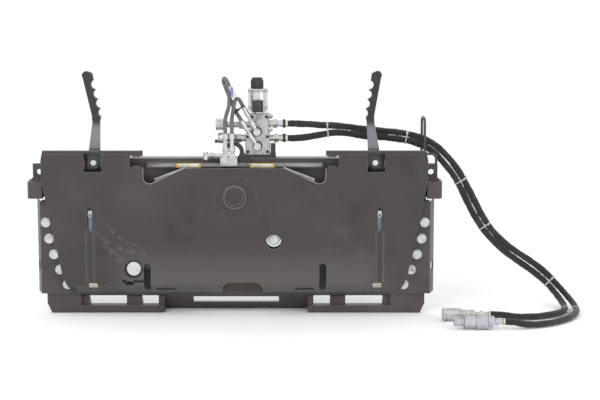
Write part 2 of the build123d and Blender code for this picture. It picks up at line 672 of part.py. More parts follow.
def steel_tubes():
    """Two steel tubes with union nuts, standing in elbows on a block on the square bar's front."""
    block = box((-42, 7), (TUBE_Y - 7, -14), (438, 462))
    run = disc_x(TUBE_Y, 468.5, 5.5, -84, TUBE_X[0]) + hex_x(TUBE_Y, 468.5, 9.5, -72, -62)
    run += disc_z(-84, TUBE_Y, 7.5, 457, 478)
    tubes = block + run
    for x in TUBE_X:
        tubes += disc_z(x, TUBE_Y, 6.5, 462, TUBE_TOP_Z) + disc_z(x, TUBE_Y, 9, 518, TUBE_TOP_Z)
        tubes += disc_z(x, TUBE_Y, 9, 480, 492)
        tubes += box((x - 8, x + 8), (TUBE_Y - 7, TUBE_Y + 7), (462, 475))
    return tubes


def male_coupler():
    """The ribbed nipple on the block's left, with its dust cap face."""
    body = disc_x(COUPLER_Y, 554.5, 9, -24, 43) + hex_x(COUPLER_Y, 554.5, 14, 12, 26)
    body += disc_x(COUPLER_Y, 554.5, 14.5, -56, -24)
    for i in range(4):
        body += disc_x(COUPLER_Y, 554.5, 17.3, -55 + 8 * i, -50.5 + 8 * i)
    return body


def female_coupler():
    """The socket half below it, with the step that its sleeve slides over."""
    body = disc_x(COUPLER_Y, 515, 10, -24, 30) + hex_x(COUPLER_Y, 515, 14, 4, 18)
    body += disc_x(COUPLER_Y, 515, 12.5, -50, -12)
    return body - disc_x(COUPLER_Y, 515, 8, -52, -30)


def coupler_sleeve():
    """The spring-loaded locking sleeve of the socket half."""
    sleeve = disc_x(COUPLER_Y, 515, 15.5, -50, -26) - disc_x(COUPLER_Y, 515, 12.5 + RUN, -60, 0)
    return chamfer(sleeve.edges().filter_by(GeomType.CIRCLE).sort_by(Axis.X)[-1:], 0.8)


# ---- couplers on the free hoses -----------------------------------------------------------
def floor_female():
    """The socket coupler on the upper hose's end, lying on the ground."""
    y, z = -216, FEMALE_Z
    body = disc_x(y, z, 7, 732, 760) + hex_x(y, z, 11, 738, 748) + disc_x(y, z, 16.5, 718, 734)
    body += disc_x(y, z, 21.5, 684, 718) + disc_x(y, z, 18.5, 648, 684) + disc_x(y, z, 12.5, 622, 648)
    return body - disc_x(y, z, 8, 620, 640)


def floor_male():
    """The ribbed coupler on the lower hose's end, lying on the ground."""
    y, z = -110, MALE_Z
    body = disc_x(y, z, 7, 690, 730) + hex_x(y, z, 11, 706, 716) + disc_x(y, z, 13, 656, 692)
    body += disc_x(y, z, 16, 598, 656)
    for i in range(5):
        body += disc_x(y, z, 18.7, 600 + 11 * i, 607 + 11 * i)
    return body - disc_x(y, z, 11, 590, 612)


def main():
    os.makedirs("parts", exist_ok=True)
    save("coupler_plate", coupler_plate())
    save("plate_welds", plate_welds())
    save("pivot_pin", pivot_pin())
    save("pivot_retainer", pivot_retainer())
    save("slide_arcs", slide_arcs())
    save("wedge_guides", wedge_guides())
    save("lever_brackets", lever_brackets())
    save("lever_bolts", lever_bolts())
    save("pin_carrier", pin_carrier())
    save("base_pin", base_pin())
    save("lever_right", lever_arm(RIGHT_LEAN))
    save("lever_left", mirrored(lever_arm(LEFT_LEAN)))
    save("grip_right", lever_grip(RIGHT_LEAN))
    save("grip_left", mirrored(lever_grip(LEFT_LEAN)))
    for name, make in (("wedge", wedge), ("link", link), ("link_spring", link_spring)):
        save(f"{name}_right", make())
        save(f"{name}_left", mirrored(make()))
    save("cylinder_barrel", cylinder_barrel())
    save("cylinder_gland", cylinder_gland())
    save("cylinder_rod", cylinder_rod())
    save("rod_pin", rod_pin())
    save("rear_plate", rear_plate())
    save("pivot_bush", pivot_bush())
    save("top_hook", top_hook())
    save("bottom_flange", bottom_flange())
    save("skid_bars", skid_bars())
    save("end_plates", end_plates())
    save("side_sheet_right", side_sheet())
    save("side_sheet_left", mirrored(side_sheet()))
    save("arc_spacers", arc_spacers())
    save("keeper_bolts", keeper_bolts())
    save("side_blocks", side_blocks())
    save("hose_guide", hose_guide())
    save("lifting_eye", lifting_eye())
    save("valve_bracket", valve_bracket())
    save("valve_block", valve_block())
    save("solenoid_coil", solenoid_coil())
    save("coil_nut", coil_nut())
    save("coil_connector", coil_connector())
    save("port_plugs", port_plugs())
    save("outlet_fittings", outlet_fittings())
    save("pilot_fittings", pilot_fittings())
    save("pilot_hose_outer", pilot_hose_outer())
    save("pilot_hose_inner", pilot_hose_inner())
    save("steel_tubes", steel_tubes())
    save("male_coupler", male_coupler())
    save("female_coupler", female_coupler())
    save("coupler_sleeve", coupler_sleeve())
    save("hose_sleeve_upper", hose(SLEEVE_UPPER, SLEEVE_D, corner_radii(SLEEVE_UPPER), "hose_sleeve_upper"))
    save("hose_sleeve_lower", hose(SLEEVE_LOWER, SLEEVE_D, corner_radii(SLEEVE_LOWER), "hose_sleeve_lower"))
    save("floor_female", floor_female())
    save("floor_male", floor_male())


main()
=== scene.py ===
import bpy
import json
import math
import random
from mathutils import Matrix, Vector, noise


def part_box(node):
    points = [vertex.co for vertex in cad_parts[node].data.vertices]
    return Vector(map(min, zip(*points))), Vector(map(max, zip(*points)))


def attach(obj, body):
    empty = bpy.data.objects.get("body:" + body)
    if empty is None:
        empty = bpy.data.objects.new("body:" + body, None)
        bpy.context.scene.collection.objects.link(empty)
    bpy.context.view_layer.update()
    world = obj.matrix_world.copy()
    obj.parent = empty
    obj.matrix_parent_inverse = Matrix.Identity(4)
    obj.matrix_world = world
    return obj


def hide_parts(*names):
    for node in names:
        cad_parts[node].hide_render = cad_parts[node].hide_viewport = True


# Looks of a tilting quick-coupler adapter. Everything is in metres, in the row frame:
# +X to the right seen from the tilt plate, +Y from the tilt plate to the loader, +Z up.

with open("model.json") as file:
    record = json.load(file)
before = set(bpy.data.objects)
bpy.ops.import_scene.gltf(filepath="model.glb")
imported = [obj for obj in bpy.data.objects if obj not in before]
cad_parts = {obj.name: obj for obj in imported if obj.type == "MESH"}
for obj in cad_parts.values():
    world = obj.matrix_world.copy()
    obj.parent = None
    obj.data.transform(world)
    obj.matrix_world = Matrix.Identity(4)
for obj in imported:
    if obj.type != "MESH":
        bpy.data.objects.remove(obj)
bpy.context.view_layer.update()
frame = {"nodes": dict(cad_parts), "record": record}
NODES = frame["nodes"]
MM = 0.001
X_AXIS, Y_AXIS, Z_AXIS = Vector((1, 0, 0)), Vector((0, 1, 0)), Vector((0, 0, 1))
PLATE_Y = -0.060                      # front face of the tilt plate
PIVOT = Vector((0.0, PLATE_Y, 0.350))
DRAW = random.Random(11)


# ---- camera and light ---------------------------------------------------------------------
def add_camera():
    target = Vector((0.1884, -0.060, 0.344))
    elevation = math.radians(9.0)
    data = bpy.data.cameras.new("camera")
    data.lens = 100.0
    data.sensor_width = 36.0
    camera = bpy.data.objects.new("camera", data)
    bpy.context.scene.collection.objects.link(camera)
    camera.location = target + 4.8 * Vector((0.0, -math.cos(elevation), math.sin(elevation)))
    camera.rotation_euler = (target - camera.location).to_track_quat("-Z", "Y").to_euler()
    bpy.context.scene.camera = camera


def add_area(name, place, aim, size, power):
    data = bpy.data.lights.new(name, "AREA")
    data.shape = "RECTANGLE"
    data.size, data.size_y = size
    data.energy = power
    lamp = bpy.data.objects.new(name, data)
    bpy.context.scene.collection.objects.link(lamp)
    lamp.location = place
    lamp.rotation_euler = (Vector(aim) - Vector(place)).to_track_quat("-Z", "Y").to_euler()


def add_studio():
    world = bpy.data.worlds.new("studio")
    bpy.context.scene.world = world
    world.use_nodes = True
    world.node_tree.nodes["Background"].inputs["Color"].default_value = (1.0, 1.0, 1.0, 1.0)
    world.node_tree.nodes["Background"].inputs["Strength"].default_value = 1.04
    add_area("key", (-1.6, -2.6, 2.2), (0.0, 0.0, 0.3), (1.6, 1.2), 36.0)
    add_area("fill", (2.4, -2.2, 1.2), (0.1, 0.0, 0.3), (1.4, 1.4), 18.0)
    bpy.context.scene.view_settings.view_transform = "Standard"


def add_floor():
    mesh = bpy.data.meshes.new("floor")
    far = 14.0
    mesh.from_pydata([(-far, -far, 0), (far, -far, 0), (far, far, 0), (-far, far, 0)], [], [(0, 1, 2, 3)])
    floor = bpy.data.objects.new("floor", mesh)
    bpy.context.scene.collection.objects.link(floor)
    floor.location.z = -0.0005
    shader = Shader("floor", (0.97, 0.97, 0.97), 0.9)
    shader.grain(900.0, 0.02)
    mesh.materials.append(shader.material)


# ---- materials ----------------------------------------------------------------------------
class Shader:
    """A Principled material whose colour, roughness and relief are built up layer by layer."""

    def __init__(self, name, colour, roughness, metallic=0.0):
        self.material = bpy.data.materials.new(name)
        self.material.use_nodes = True
        self.tree = self.material.node_tree
        self.base = self.tree.nodes["Principled BSDF"]
        self.base.inputs["Metallic"].default_value = metallic
        self.place = self.new("ShaderNodeTexCoord").outputs["Object"]
        self.colour = self.new("ShaderNodeRGB").outputs[0]
        self.colour.default_value = (*colour, 1.0)
        self.rough = self.new("ShaderNodeValue").outputs[0]
        self.rough.default_value = roughness
        self.rounded = None
        self.link(self.rough, self.base.inputs["Roughness"])
        self.link(self.colour, self.base.inputs["Base Color"])

    def new(self, kind):
        return self.tree.nodes.new(kind)

    def link(self, out, into):
        self.tree.links.new(out, into)

    def put(self, value, socket):
        if isinstance(value, bpy.types.NodeSocket):
            self.link(value, socket)
        else:
            socket.default_value = value

    def calc(self, operation, a, b=0.0, c=0.0):
        node = self.new("ShaderNodeMath")
        node.operation = operation
        for value, socket in zip((a, b, c), node.inputs):
            self.put(value, socket)
        return node.outputs[0]

    def times(self, first, *others):
        """The product of two or more masks or numbers."""
        for other in others:
            first = self.calc("MULTIPLY", first, other)
        return first

    def outside(self, mask):
        return self.calc("SUBTRACT", 1.0, mask)

    def band(self, value, low, high):
        """0 below low, 1 above high, smooth between."""
        node = self.new("ShaderNodeMapRange")
        node.interpolation_type = "SMOOTHSTEP"
        for share, socket in zip((value, low, high), node.inputs):
            self.put(share, socket)
        return node.outputs[0]

    def noise(self, scale, detail=3.0, stretch=(1.0, 1.0, 1.0), rough=0.55):
        mapping = self.new("ShaderNodeMapping")
        mapping.inputs["Scale"].default_value = stretch
        self.link(self.place, mapping.inputs["Vector"])
        node = self.new("ShaderNodeTexNoise")
        self.link(mapping.outputs[0], node.inputs["Vector"])
        node.inputs["Scale"].default_value = scale
        node.inputs["Detail"].default_value = detail
        node.inputs["Roughness"].default_value = rough
        return node.outputs["Fac"]

    def paint(self, mask, colour, roughness=None):
        """Lays a colour, and a roughness if given, over what is there."""
        mix = self.new("ShaderNodeMix")
        mix.data_type = "RGBA"
        self.put(mask, mix.inputs[0])
        self.link(self.colour, mix.inputs[6])
        mix.inputs[7].default_value = (*colour, 1.0)
        self.colour = mix.outputs[2]
        self.link(self.colour, self.base.inputs["Base Color"])
        if roughness is not None:
            blend = self.new("ShaderNodeMix")
            self.put(mask, blend.inputs[0])
            self.link(self.rough, blend.inputs[2])
            blend.inputs[3].default_value = roughness
            self.rough = blend.outputs[0]
            self.link(self.rough, self.base.inputs["Roughness"])

    def soften(self, radius):
        """Rounds the edges in the shading, and returns a mask of where they are."""
        bevel = self.new("ShaderNodeBevel")
        bevel.samples = 6
        bevel.inputs["Radius"].default_value = radius
        self.rounded = bevel.outputs[0]
        self.link(self.rounded, self.base.inputs["Normal"])
        dot = self.new("ShaderNodeVectorMath")
        dot.operation = "DOT_PRODUCT"
        self.link(self.rounded, dot.inputs[0])
        self.link(self.new("ShaderNodeNewGeometry").outputs["Normal"], dot.inputs[1])
        return self.band(self.outside(dot.outputs["Value"]), 0.02, 0.16)

    def bump(self, height, distance, strength=1.0):
        node = self.new("ShaderNodeBump")
        node.inputs["Distance"].default_value = distance
        node.inputs["Strength"].default_value = strength
        self.link(height, node.inputs["Height"])
        if self.rounded is not None:
            self.link(self.rounded, node.inputs["Normal"])
        self.rounded = node.outputs[0]
        self.link(self.rounded, self.base.inputs["Normal"])

    def grain(self, scale, distance_mm, detail=2.0, stretch=(1.0, 1.0, 1.0)):
        self.bump(self.noise(scale, detail, stretch), distance_mm * MM)

    def axis(self, index):
        node = self.new("ShaderNodeSeparateXYZ")
        self.link(self.place, node.inputs[0])
        return node.outputs[index]

    def distance_to(self, x, z):
        dx = self.calc("SUBTRACT", self.axis(0), x)
        dz = self.calc("SUBTRACT", self.axis(2), z)
        return self.calc("SQRT", self.calc("ADD", self.times(dx, dx), self.times(dz, dz)))

    def ring(self, x, z, radius, half_width, reach, strength):
        """A scratched arc of a circle about (x, z), broken up by noise and fading away from its middle."""
        off = self.calc("ABSOLUTE", self.calc("SUBTRACT", self.distance_to(x, z), radius))
        line = self.outside(self.band(off, half_width * 0.4, half_width))
        near = self.outside(self.band(self.distance_to(*reach[:2]), reach[2] * 0.5, reach[2]))
        broken = self.band(self.noise(70.0, 4.0), 0.42, 0.62)
        return self.times(line, near, broken, strength)

    def window(self, x_range, z_range, soft):
        """1 inside an X and Z window, fading over soft."""
        mask = None
        for axis, (low, high) in ((self.axis(0), x_range), (self.axis(2), z_range)):
            rise = self.band(axis, low - soft, low)
            fall = self.outside(self.band(axis, high, high + soft))
            side = self.times(rise, fall)
            mask = side if mask is None else self.times(mask, side)
        return mask

    def scratches(self, scale, stretch, low, high):
        return self.band(self.noise(scale, 5.0, stretch, 0.7), low, high)


PLATE_BROWN = (0.0315, 0.0238, 0.0250)
FRAME_BROWN = (0.050, 0.040, 0.041)
ZINC = (0.58, 0.585, 0.57)
DUST = (0.22, 0.20, 0.19)
BARE = (0.52, 0.49, 0.46)


def painted(name, colour, roughness, wear=0.6):
    """Satin machine paint: cloudy tone, orange peel, fine scratches and worn edges."""
    s = Shader(name, colour, roughness)
    edge = s.soften(1.6 * MM)
    lighter = tuple(min(1.0, 1.55 * c) for c in colour)
    darker = tuple(0.62 * c for c in colour)
    s.paint(s.band(s.noise(3.5, 5.0), 0.48, 0.74), lighter)
    s.paint(s.times(s.band(s.noise(11.0, 6.0), 0.5, 0.72), 0.7), darker, roughness + 0.1)
    s.paint(s.times(s.scratches(14.0, (1.0, 1.0, 14.0), 0.68, 0.80), 0.14), DUST)
    s.paint(s.times(s.scratches(18.0, (11.0, 1.0, 1.0), 0.68, 0.80), 0.10), DUST)
    chipped = s.band(s.noise(160.0, 4.0), 0.38, 0.6)
    s.paint(s.times(edge, chipped, wear), BARE, 0.4)
    s.grain(420.0, 0.05)
    s.grain(45.0, 0.12)
    return s


# Scratched arcs on the plate: centre X and Z, radius, half width, reach (X, Z, radius), strength.
SCRATCHED_ARCS = (
    (-0.270, 0.360, 0.170, 0.0090, (-0.350, 0.195, 0.10), 0.22),
    (-0.120, 0.420, 0.330, 0.0120, (-0.320, 0.165, 0.10), 0.20),
    (-0.235, 0.385, 0.180, 0.0016, (-0.350, 0.225, 0.11), 0.40),
    (-0.150, 0.420, 0.262, 0.0013, (-0.330, 0.205, 0.12), 0.35),
    (-0.100, 0.420, 0.300, 0.0012, (-0.310, 0.190, 0.11), 0.30),
    (0.200, 0.640, 0.450, 0.0016, (0.300, 0.200, 0.12), 0.16),
    (0.070, 0.262, 0.036, 0.0014, (0.085, 0.285, 0.05), 0.16),
    (-0.150, 0.420, 0.120, 0.0016, (-0.08, 0.33, 0.05), 0.14),
    (0.000, 0.350, 0.062, 0.0060, (0.0, 0.35, 0.09), 0.10),
)


def plate_paint():
    """The tilt plate's warm grey-brown paint with the marks of use that the plate has, paler towards the bottom,
    with a painted floor reflection on the bent bottom lip and painted shade in the grooves between the guide
    welds.
    """
    s = painted("plate_paint", PLATE_BROWN, 0.38, 0.8)
    # Paler towards the bottom of the plate.
    low = s.outside(s.band(s.axis(2), 0.105, 0.235))
    lower_paling = s.times(low, s.window((-0.28, 0.36), (-0.1, 0.5), 0.10))
    s.paint(s.times(lower_paling, 0.75), (0.082, 0.074, 0.073))
    rust = s.window((-0.030, 0.075), (0.04, 0.102), 0.012)
    s.paint(s.times(rust, 0.6), (0.10, 0.068, 0.048))
    # Painted reflection: the bent bottom lip is lightened as if it reflected the pale floor.
    lip_reflection = s.window((-0.46, 0.46), (0.068, 0.090), 0.004)
    s.paint(s.times(lip_reflection, s.band(s.noise(6.0, 4.0), 0.35, 0.62), 0.5), (0.095, 0.088, 0.086))
    cloud = s.band(s.noise(12.0, 5.0), 0.48, 0.72)
    s.paint(s.times(cloud, s.window((0.27, 0.38), (0.150, 0.235), 0.05), 0.16), DUST)
    for arc in SCRATCHED_ARCS:
        s.paint(s.ring(*arc), DUST)
    for side in (1, -1):
        guide = s.window(sorted((side * 0.404, side * 0.434)), (0.100, 0.252), 0.003)
        s.paint(s.times(guide, 0.55), (0.058, 0.052, 0.050), 0.5)
        # Painted shade: a dark strip in the groove between each pair of guide welds.
        groove = s.window(sorted((side * 0.4145, side * 0.4235)), (0.104, 0.248), 0.001)
        s.paint(s.times(groove, 0.6), (0.022, 0.019, 0.019), 0.5)
    return s.material


def metal(name, colour, roughness, metallic=0.9, mottle=0.6, grime=(0.12, 0.11, 0.10)):
    """Plated or bare metal: clouded tone, grime in patches, fine machining lines."""
    s = Shader(name, colour, roughness, metallic)
    edge = s.soften(0.8 * MM)
    dull = tuple(0.6 * c for c in colour)
    bright = tuple(min(1.0, 1.25 * c) for c in colour)
    s.paint(s.times(s.band(s.noise(60.0, 5.0), 0.40, 0.72), mottle), dull, roughness + 0.12)
    s.paint(s.times(s.band(s.noise(22.0, 6.0), 0.60, 0.78), 0.6), grime, 0.7)
    s.paint(s.times(edge, 0.5), bright, roughness * 0.8)
    s.grain(900.0, 0.02)
    return s


def plastic(name, colour, roughness, scale=700.0, relief=0.05):
    """Moulded plastic or rubber: a faint bloom, paler edges and a fine grain."""
    s = Shader(name, colour, roughness)
    edge = s.soften(1.0 * MM)
    bloom = tuple(1.8 * c + 0.01 for c in colour)
    s.paint(s.times(s.band(s.noise(40.0, 5.0), 0.45, 0.75), 0.6), bloom, roughness + 0.08)
    s.paint(s.times(edge, 0.35), tuple(2.4 * c + 0.03 for c in colour))
    s.grain(scale, relief)
    return s


def woven(name, colour):
    """Woven hose sleeve: a fine crossed weave, dusty creases and a dull sheen."""
    s = Shader(name, colour, 0.82)
    s.paint(s.times(s.band(s.noise(38.0, 5.0), 0.46, 0.72), 0.8), tuple(2.6 * c for c in colour), 0.9)
    s.paint(s.times(s.band(s.noise(160.0, 4.0), 0.55, 0.75), 0.5), tuple(4.0 * c for c in colour))
    s.base.inputs["Sheen Weight"].default_value = 0.25
    s.base.inputs["Sheen Roughness"].default_value = 0.5
    heights = []
    for turn in (45.0, -45.0):
        mapping = s.new("ShaderNodeMapping")
        mapping.inputs["Rotation"].default_value = (0.3, math.radians(turn), 0.2)
        s.link(s.place, mapping.inputs["Vector"])
        wave = s.new("ShaderNodeTexWave")
        wave.inputs["Scale"].default_value = 330.0
        wave.inputs["Distortion"].default_value = 0.6
        s.link(mapping.outputs[0], wave.inputs["Vector"])
        heights.append(wave.outputs["Fac"])
    s.bump(s.calc("MAXIMUM", *heights), 0.12 * MM)
    s.grain(120.0, 0.5, 4.0)
    return s.material


def lever_paint():
    """Black lever paint, with a painted grey reflection along the lower arm."""
    s = painted("lever_paint", (0.020, 0.020, 0.021), 0.28, 0.5)
    height = s.axis(2)
    # Painted reflection: a grey band across the arm between these heights.
    sheen = s.times(s.band(height, 0.480, 0.500), s.outside(s.band(height, 0.545, 0.575)), 0.8)
    s.paint(sheen, (0.19, 0.185, 0.20), 0.3)
    return s.material


def link_finish():
    """Zinc link eyes; the rod and yoke above them are black."""
    s = metal("link_finish", ZINC, 0.34, 0.85, 0.75)
    s.paint(s.band(s.axis(2), 0.308, 0.314), (0.020, 0.019, 0.018), 0.5)
    return s.material


def hook_paint():
    """Frame paint, with a painted highlight along the top of the hook, and rubbed pale on the front of the bar
    before it.
    """
    s = painted("hook_paint", FRAME_BROWN, 0.40, 0.6)
    worn = s.band(s.noise(9.0, 5.0, (1.0, 1.0, 4.0)), 0.30, 0.60)
    # Painted highlight: a pale band along the top of the hook.
    s.paint(s.times(s.band(s.axis(2), 0.4562, 0.4578), 0.55), (0.26, 0.25, 0.26), 0.35)
    front_face = s.outside(s.band(s.axis(1), -0.0140, -0.0132))
    front = s.times(s.window((-0.252, 0.252), (0.4345, 0.4445), 0.001), front_face)
    s.paint(s.times(front, worn, 0.75), (0.36, 0.35, 0.35), 0.35)
    return s.material


def tag_print():
    """A pale hose tag with a plain blue stripe."""
    s = plastic("tag_blue", (0.50, 0.50, 0.49), 0.5)
    stripe = s.window((-0.012, -0.003), (0.640, 0.668), 0.001)
    s.paint(s.times(stripe, 0.8), (0.10, 0.14, 0.38))
    return s.material


def wedge_steel():
    """Bare wedge steel: a creamy worn tip and a blue zinc upper end."""
    s = metal("bare_steel", (0.58, 0.53, 0.45), 0.36)
    s.paint(s.times(s.band(s.axis(2), 0.225, 0.235), 0.85), (0.105, 0.165, 0.215), 0.35)
    return s.material


MATERIALS = {
    "plate_paint": plate_paint(),
    "frame_paint": painted("frame_paint", FRAME_BROWN, 0.42, 0.55).material,
    "black_paint": painted("black_paint", (0.022, 0.021, 0.021), 0.33, 0.5).material,
    "weld_bead": painted("weld_bead", (0.066, 0.059, 0.057), 0.30, 0.9).material,
    # Pale bare steel for the rubbed strips, and for the painted highlights along edges and slopes.
    "edge_bare": metal("edge_bare", (0.34, 0.32, 0.33), 0.4, 0.4, 0.7).material,
    "lever_paint": lever_paint(),
    "link_finish": link_finish(),
    "hook_paint": hook_paint(),
    "zinc": metal("zinc", ZINC, 0.34, 0.85, 0.75).material,
    "bare_steel": wedge_steel(),
    "bolt_zinc": metal("bolt_zinc", (0.60, 0.60, 0.59), 0.40, 0.8, 0.7, (0.24, 0.22, 0.20)).material,
    "floor_coupler": metal("floor_coupler", (0.52, 0.51, 0.56), 0.34, 0.8, 0.6, (0.22, 0.21, 0.24)).material,
    "bush_bronze": metal("bush_bronze", (0.42, 0.29, 0.13), 0.35).material,
    "rod_chrome": metal("rod_chrome", (0.75, 0.75, 0.77), 0.10, 1.0, 0.1).material,
    "valve_body": metal("valve_body", (0.46, 0.46, 0.445), 0.36, 0.7, 0.8, (0.14, 0.13, 0.12)).material,
    "coil_shell": metal("coil_shell", (0.66, 0.66, 0.64), 0.24, 0.95, 0.3).material,
    "black_plastic": plastic("black_plastic", (0.016, 0.016, 0.017), 0.45).material,
    "grip_rubber": plastic("grip_rubber", (0.012, 0.012, 0.012), 0.58, 520.0, 0.12).material,
    "hose_rubber": plastic("hose_rubber", (0.095, 0.093, 0.096), 0.42, 600.0, 0.06).material,
    "band_cream": plastic("band_cream", (0.62, 0.57, 0.46), 0.45).material,
    "tie_grey": plastic("tie_grey", (0.36, 0.37, 0.37), 0.4).material,
    "sleeve_fabric": woven("sleeve_fabric", (0.0085, 0.0082, 0.0085)),
    "label_yellow": plastic("label_yellow", (0.55, 0.40, 0.06), 0.4).material,
    "label_white": plastic("label_white", (0.62, 0.62, 0.60), 0.4).material,
    "tag_blue": tag_print(),
}
OWN_FINISH = {
    "keeper_bolts": "bolt_zinc", "lever_bolts": "bolt_zinc", "solenoid_coil": "coil_shell",
    "rod_pin": "bolt_zinc", "base_pin": "bolt_zinc", "pivot_pin": "plate_paint",
    "lever_left": "lever_paint", "lever_right": "lever_paint",
    "link_left": "link_finish", "link_right": "link_finish",
    "pin_carrier": "black_paint", "lever_brackets": "black_paint", "top_hook": "hook_paint",
}


def dress_nodes():
    for part in frame["record"]["subparts"]:
        name = part["node"]
        finish = MATERIALS[OWN_FINISH.get(name, part["material_slot"])]
        node = NODES[name]
        node.data.materials.clear()
        node.data.materials.append(finish)


# ---- mesh building ------------------------------------------------------------------------
def add_piece(name, vertices, faces, material, body, slot, smooth=True):
    mesh = bpy.data.meshes.new(name)
    mesh.from_pydata([tuple(v) for v in vertices], [], faces)
    mesh.validate()
    mesh.update()
    if smooth:
        mesh.shade_smooth()
    piece = bpy.data.objects.new(name, mesh)
    bpy.context.scene.collection.objects.link(piece)
    mesh.materials.append(MATERIALS[material])
    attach(piece, body)
    return piece


def join_shapes(shapes):
    """Several (vertices, faces) shapes as one."""
    vertices, faces = [], []
    for more, polygons in shapes:
        start = len(vertices)
        vertices += more
        faces += [tuple(start + i for i in polygon) for polygon in polygons]
    return vertices, faces


def circle_points(centre, radius, u, v, steps):
    """Points of a circle round centre, in the plane of u and v."""
    turns = [math.tau * k / steps for k in range(steps)]
    return [centre + radius * (math.cos(a) * u + math.sin(a) * v) for a in turns]


def box_of(name):
    """Low corner, high corner and middle of a CAD node."""
    low, high = (Vector(p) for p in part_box(name))
    return low, high, (low + high) / 2


def frames_along(points, closed=False):
    """Tangent and two normals at each point, carried along without twist."""
    result = []
    count = len(points)
    side = None
    for i, here in enumerate(points):
        before = points[(i - 1) % count] if closed or i else here
        after = points[(i + 1) % count] if closed or i < count - 1 else here
        tangent = (after - before).normalized()
        if side is None:
            side = tangent.orthogonal().normalized()
        side = (side - tangent * side.dot(tangent)).normalized()
        result.append((tangent, side, tangent.cross(side)))
    return result


def sweep(points, radius_at, sides=12, closed=False):
    """A tube along points; radius_at(i, angle) gives its radius. Open ends are capped."""
    vertices, faces = [], []
    rings = frames_along(points, closed)
    for i, (here, (_, u, v)) in enumerate(zip(points, rings)):
        for k in range(sides):
            a = math.tau * k / sides
            vertices.append(here + radius_at(i, a) * (math.cos(a) * u + math.sin(a) * v))
    count = len(points)
    for i in range(count if closed else count - 1):
        j = (i + 1) % count
        for k in range(sides):
            m = (k + 1) % sides
            faces.append((i * sides + k, i * sides + m, j * sides + m, j * sides + k))
    if not closed:
        faces.append(tuple(reversed(range(sides))))
        faces.append(tuple((count - 1) * sides + k for k in range(sides)))
    return vertices, faces


def lathe(profile, origin, direction, sides=48, ribs=0, rib_depth=0.0, ribbed=()):
    """A turned shape from (along, radius) steps; rows listed in ribbed get axial ribs."""
    direction = Vector(direction).normalized()
    u = direction.orthogonal().normalized()
    v = direction.cross(u)
    vertices, faces = [], []
    for row, (along, radius) in enumerate(profile):
        for k in range(sides):
            a = math.tau * k / sides
            cut = rib_depth * (0.5 + 0.5 * math.cos(ribs * a)) if ribs and row in ribbed else 0.0
            reach = max(0.0, radius - cut)
            vertices.append(Vector(origin) + direction * along + reach * (math.cos(a) * u + math.sin(a) * v))
    for row in range(len(profile) - 1):
        for k in range(sides):
            m = (k + 1) % sides
            faces.append((row * sides + k, row * sides + m, (row + 1) * sides + m, (row + 1) * sides + k))
    faces.append(tuple(reversed(range(sides))))
    faces.append(tuple((len(profile) - 1) * sides + k for k in range(sides)))
    return vertices, faces


# ---- sleeved hoses, which lie free --------------------------------------------------------
SLEEVE_UPPER = (
    (0.150, 0.025, 0.556), (0.200, 0.025, 0.556), (0.251, 0.025, 0.551), (0.307, 0.026, 0.550),
    (0.379, 0.026, 0.539), (0.453, 0.026, 0.533), (0.522, 0.026, 0.523), (0.579, 0.028, 0.499),
    (0.623, 0.033, 0.456), (0.668, 0.043, 0.396), (0.706, 0.057, 0.316), (0.743, 0.073, 0.249),
    (0.803, 0.091, 0.184), (0.866, 0.103, 0.142), (0.917, 0.103, 0.106), (0.956, 0.092, 0.066),
    (0.985, 0.070, 0.036), (1.001, 0.030, 0.015), (1.000, -0.027, 0.010), (0.982, -0.084, 0.010),
    (0.950, -0.135, 0.010), (0.907, -0.176, 0.010), (0.858, -0.202, 0.010), (0.820, -0.213, 0.013),
    (0.790, -0.216, 0.0215), (0.760, -0.216, 0.0215),
)
SLEEVE_LOWER = (
    (0.150, 0.025, 0.514), (0.200, 0.025, 0.514), (0.252, 0.025, 0.524), (0.305, 0.024, 0.531),
    (0.377, 0.024, 0.520), (0.451, 0.024, 0.514), (0.518, 0.024, 0.504), (0.569, 0.026, 0.482),
    (0.608, 0.031, 0.443), (0.651, 0.041, 0.385), (0.688, 0.055, 0.307), (0.729, 0.071, 0.236),
    (0.791, 0.089, 0.169), (0.856, 0.101, 0.125), (0.905, 0.101, 0.089), (0.941, 0.092, 0.054),
    (0.964, 0.060, 0.027), (0.972, 0.015, 0.012), (0.962, -0.028, 0.010), (0.936, -0.062, 0.010),
    (0.901, -0.087, 0.010), (0.862, -0.103, 0.010), (0.820, -0.109, 0.011), (0.787, -0.110, 0.014),
    (0.758, -0.110, 0.0187), (0.730, -0.110, 0.0187),
)
SLEEVE_RADIUS = 0.0096
SLEEVE_CORE = 0.0085
TIE_PLACES = (0.118, 0.352, 0.575, 0.735, 1.005, 1.165)      # metres along the upper sleeve
TIE_HALF_WIDTH = 0.0022
FRONT_RINGS = ((0.6500, 0.0184, 0.0008, "black_plastic"), (0.6850, 0.0208, 0.0009, "black_plastic"),
               (0.7165, 0.0208, 0.0009, "black_plastic"), (0.7330, 0.0158, 0.0013, "band_cream"))
REAR_RINGS = ((0.6600, 0.0126, 0.0009, "band_cream"), (0.6900, 0.0126, 0.0010, "band_cream"))


def route_line(name, route):
    """The smooth line of a given route, read from its NURBS spline."""
    curve = bpy.data.curves.new(name, "CURVE")
    curve.dimensions = "3D"
    spline = curve.splines.new("NURBS")
    spline.points.add(len(route) - 1)
    for point, place in zip(spline.points, route):
        point.co = (*place, 1.0)
    spline.order_u = 3
    spline.use_endpoint_u = True
    spline.resolution_u = 36
    holder = bpy.data.objects.new(name, curve)
    bpy.context.scene.collection.objects.link(holder)
    bpy.context.view_layer.update()
    evaluated = holder.evaluated_get(bpy.context.evaluated_depsgraph_get())
    line = [v.co.copy() for v in bpy.data.meshes.new_from_object(evaluated).vertices]
    bpy.data.objects.remove(holder)
    return line


def running_length(line):
    """Distance along the line at each of its points."""
    total = [0.0]
    for a, b in zip(line, line[1:]):
        total.append(total[-1] + (b - a).length)
    return total


